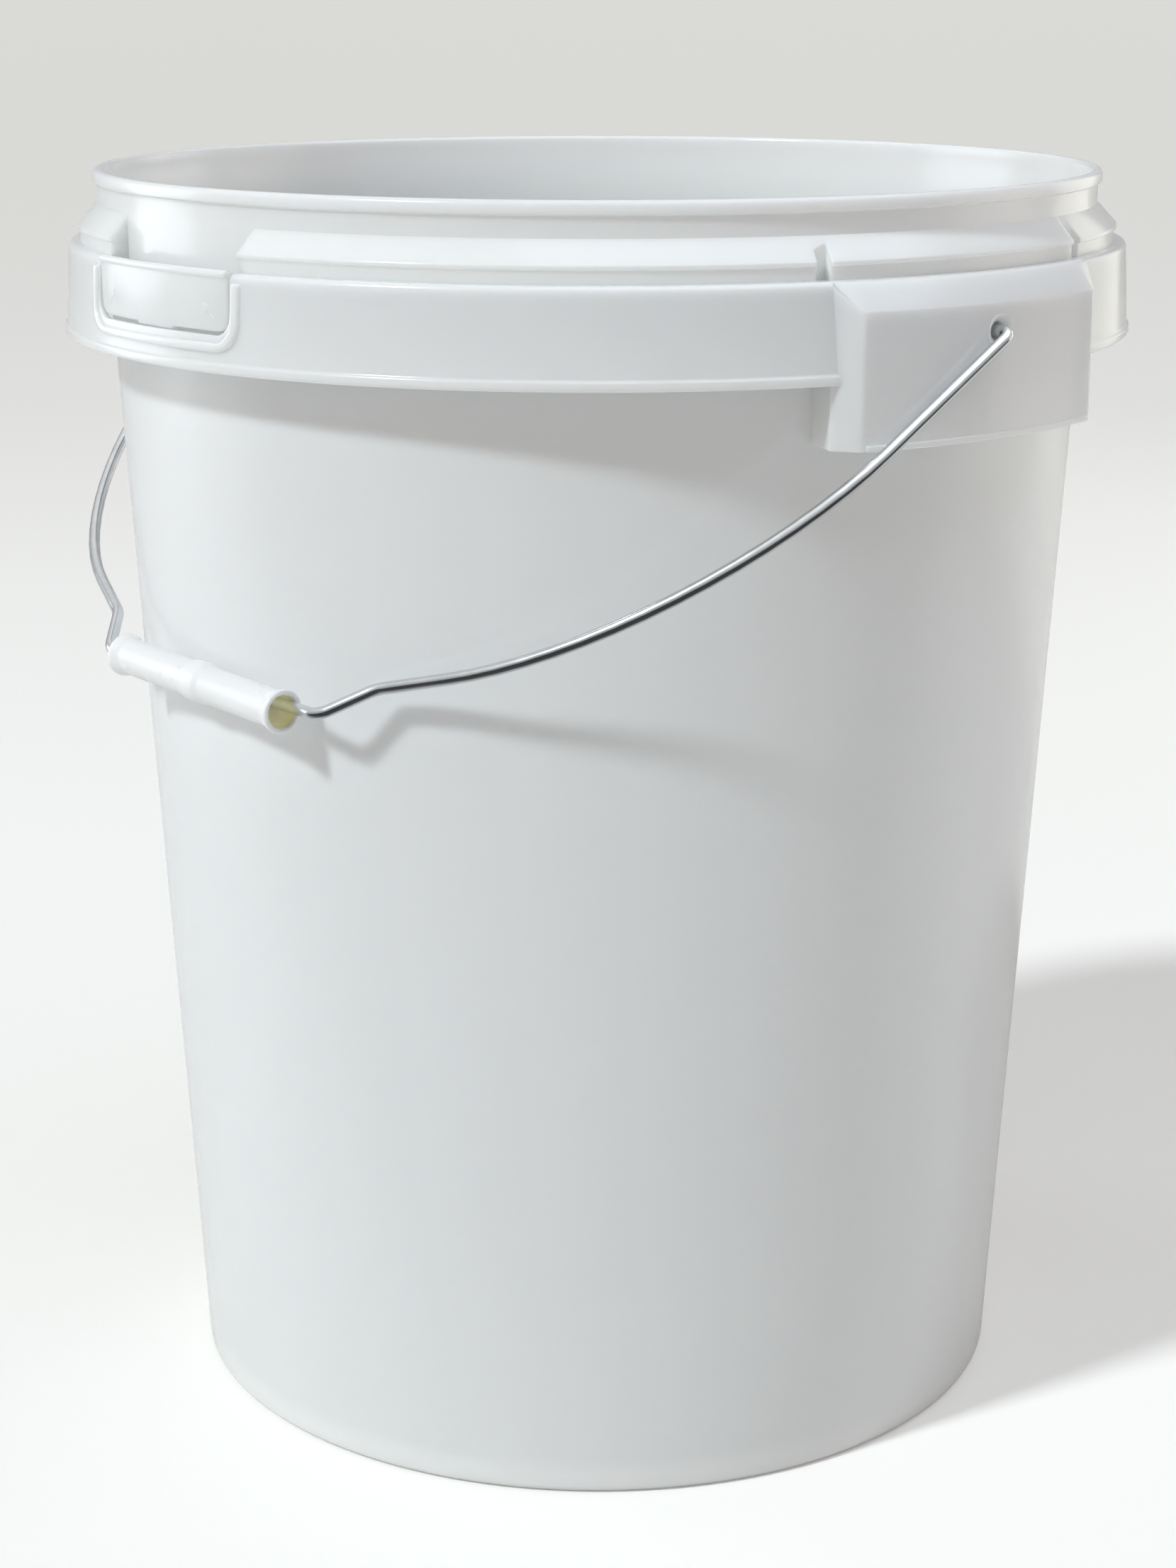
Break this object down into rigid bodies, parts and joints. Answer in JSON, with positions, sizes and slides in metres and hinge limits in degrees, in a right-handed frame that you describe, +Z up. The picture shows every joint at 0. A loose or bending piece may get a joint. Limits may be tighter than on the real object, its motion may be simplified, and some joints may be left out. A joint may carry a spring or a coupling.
{
  "type": "plastic fermenting bucket",
  "caption": "Tall tapered round plastic bucket for fermenting, open at the top, with a stacking collar, pull-out opening tab and swinging wire bail with a tube grip.",
  "frame": {"origin": "centre of the base on the bucket's axis, at the level of the surface it stands on", "axes": "+Z up the bucket's axis; X along the bail's pivot line, one ear block at +X and the other at -X; -Y towards the opening tab and the side the bail hangs on"},
  "size_m": [0.3936, 0.3725, 0.436],
  "materials": {
    "bucket_plastic": "satin white polypropylene",
    "tab_plastic": "satin white polypropylene",
    "bail_steel": "bright zinc-plated drawn wire",
    "grip_plastic": "glossy white polyethylene tube"
  },
  "bodies": {
    "bucket": {"bucket_cup": "bucket_plastic", "bucket_collar": "bucket_plastic", "ear_block_right": "bucket_plastic", "ear_block_left": "bucket_plastic"},
    "tab": {"opening_tab": "tab_plastic"},
    "bail": {"bail_wire": "bail_steel"},
    "grip": {"grip_tube": "grip_plastic"}
  },
  "joints": [
    {"name": "bail_swing", "type": "hinge", "parent": "bucket", "child": "bail", "pos_m": [0, 0, 0.3943], "axis": [-1, 0, 0], "range_deg": [0, 248]},
    {"name": "grip_spin", "type": "hinge", "parent": "bail", "child": "grip", "pos_m": [0, -0.17103, 0.27537], "axis": [0.9996, 0, -0.0279], "continuous": true},
    {"name": "tab_fold", "type": "hinge", "parent": "bucket", "child": "tab", "pos_m": [0, -0.184, 0.3931], "axis": [1, 0, 0], "range_deg": [0, 50]}
  ]
}
